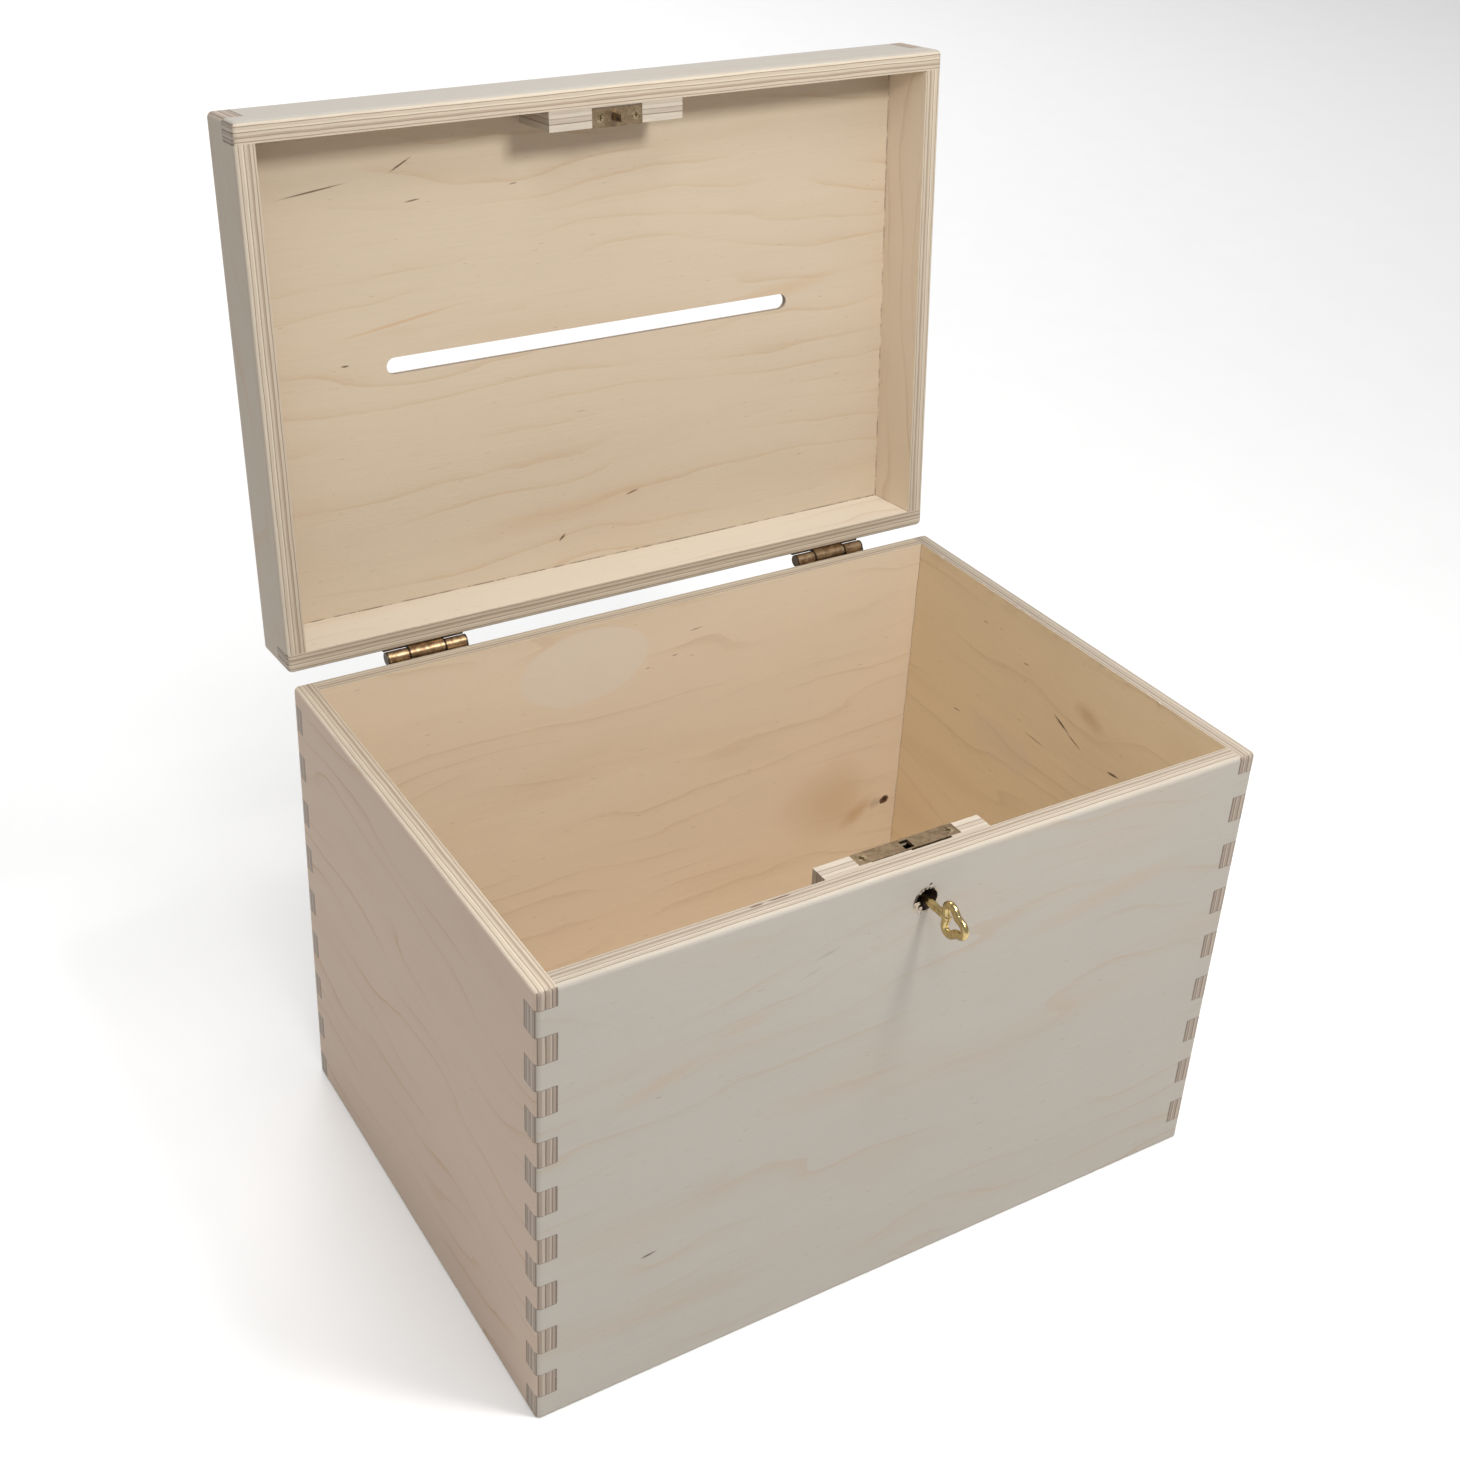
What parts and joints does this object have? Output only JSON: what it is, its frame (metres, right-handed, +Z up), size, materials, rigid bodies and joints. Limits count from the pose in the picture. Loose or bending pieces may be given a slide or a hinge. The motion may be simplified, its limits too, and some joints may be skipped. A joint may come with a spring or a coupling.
{
  "type": "donation box",
  "caption": "Lockable finger-jointed plywood donation box, its slotted lid standing open on butt hinges, with a key in the front lock.",
  "frame": {"origin": "centre of the box's underside, on the surface it stands on", "axes": "+Z up; the front wall with the key faces -Y; the hinges are at +Y; +X is to the right seen from the front"},
  "size_m": [0.35, 0.3262, 0.4665],
  "materials": {
    "birch_ply": "raw sanded birch plywood, matt",
    "birch_panel": "raw sanded thin birch plywood, matt",
    "block_ply": "sawn birch plywood, matt",
    "dull_brass": "dull brushed brass plating",
    "screw_brass": "dull brass plating",
    "hinge_bronze": "satin bronzed brass",
    "key_brass": "bright brass plating",
    "lock_steel": "plain pressed steel"
  },
  "bodies": {
    "box": {"front_wall": "birch_ply", "back_wall": "birch_ply", "left_wall": "birch_ply", "right_wall": "birch_ply", "bottom_panel": "birch_panel", "lock_block": "block_ply", "lock_faceplate": "dull_brass", "lock_case": "dull_brass", "lock_cover": "dull_brass", "key_post": "lock_steel", "bolt_guide_pin": "lock_steel", "bolt_spring": "lock_steel", "lock_screws": "screw_brass", "hinge_left_box_leaf": "hinge_bronze", "hinge_right_box_leaf": "hinge_bronze", "hinge_left_pin": "hinge_bronze", "hinge_right_pin": "hinge_bronze", "hinge_box_screws": "hinge_bronze"},
    "lid": {"lid_front_rail": "birch_ply", "lid_back_rail": "birch_ply", "lid_left_rail": "birch_ply", "lid_right_rail": "birch_ply", "lid_panel": "birch_panel", "strike_block": "block_ply", "strike_plate": "dull_brass", "strike_screws": "screw_brass", "hinge_left_lid_leaf": "hinge_bronze", "hinge_right_lid_leaf": "hinge_bronze", "hinge_lid_screws": "hinge_bronze"},
    "key": {"key": "key_brass"},
    "bolt": {"lock_bolt": "lock_steel"}
  },
  "joints": [
    {"name": "lid_hinge", "type": "hinge", "parent": "box", "child": "lid", "pos_m": [0, 0.1245, 0.22215], "axis": [-1, 0, 0], "range_deg": [-95, 0]},
    {"name": "key_turn", "type": "hinge", "parent": "box", "child": "key", "pos_m": [-0.0008, -0.1073, 0.2035], "axis": [0, -1, 0], "range_deg": [0, 70]},
    {"name": "bolt_slide", "type": "slide", "parent": "box", "child": "bolt", "axis": [-1, 0, 0], "range_m": [0, 0.0042]}
  ],
  "couplings": [
    {"joint": "bolt_slide", "follows": "key_turn", "m_per_rad": 0.003435}
  ]
}
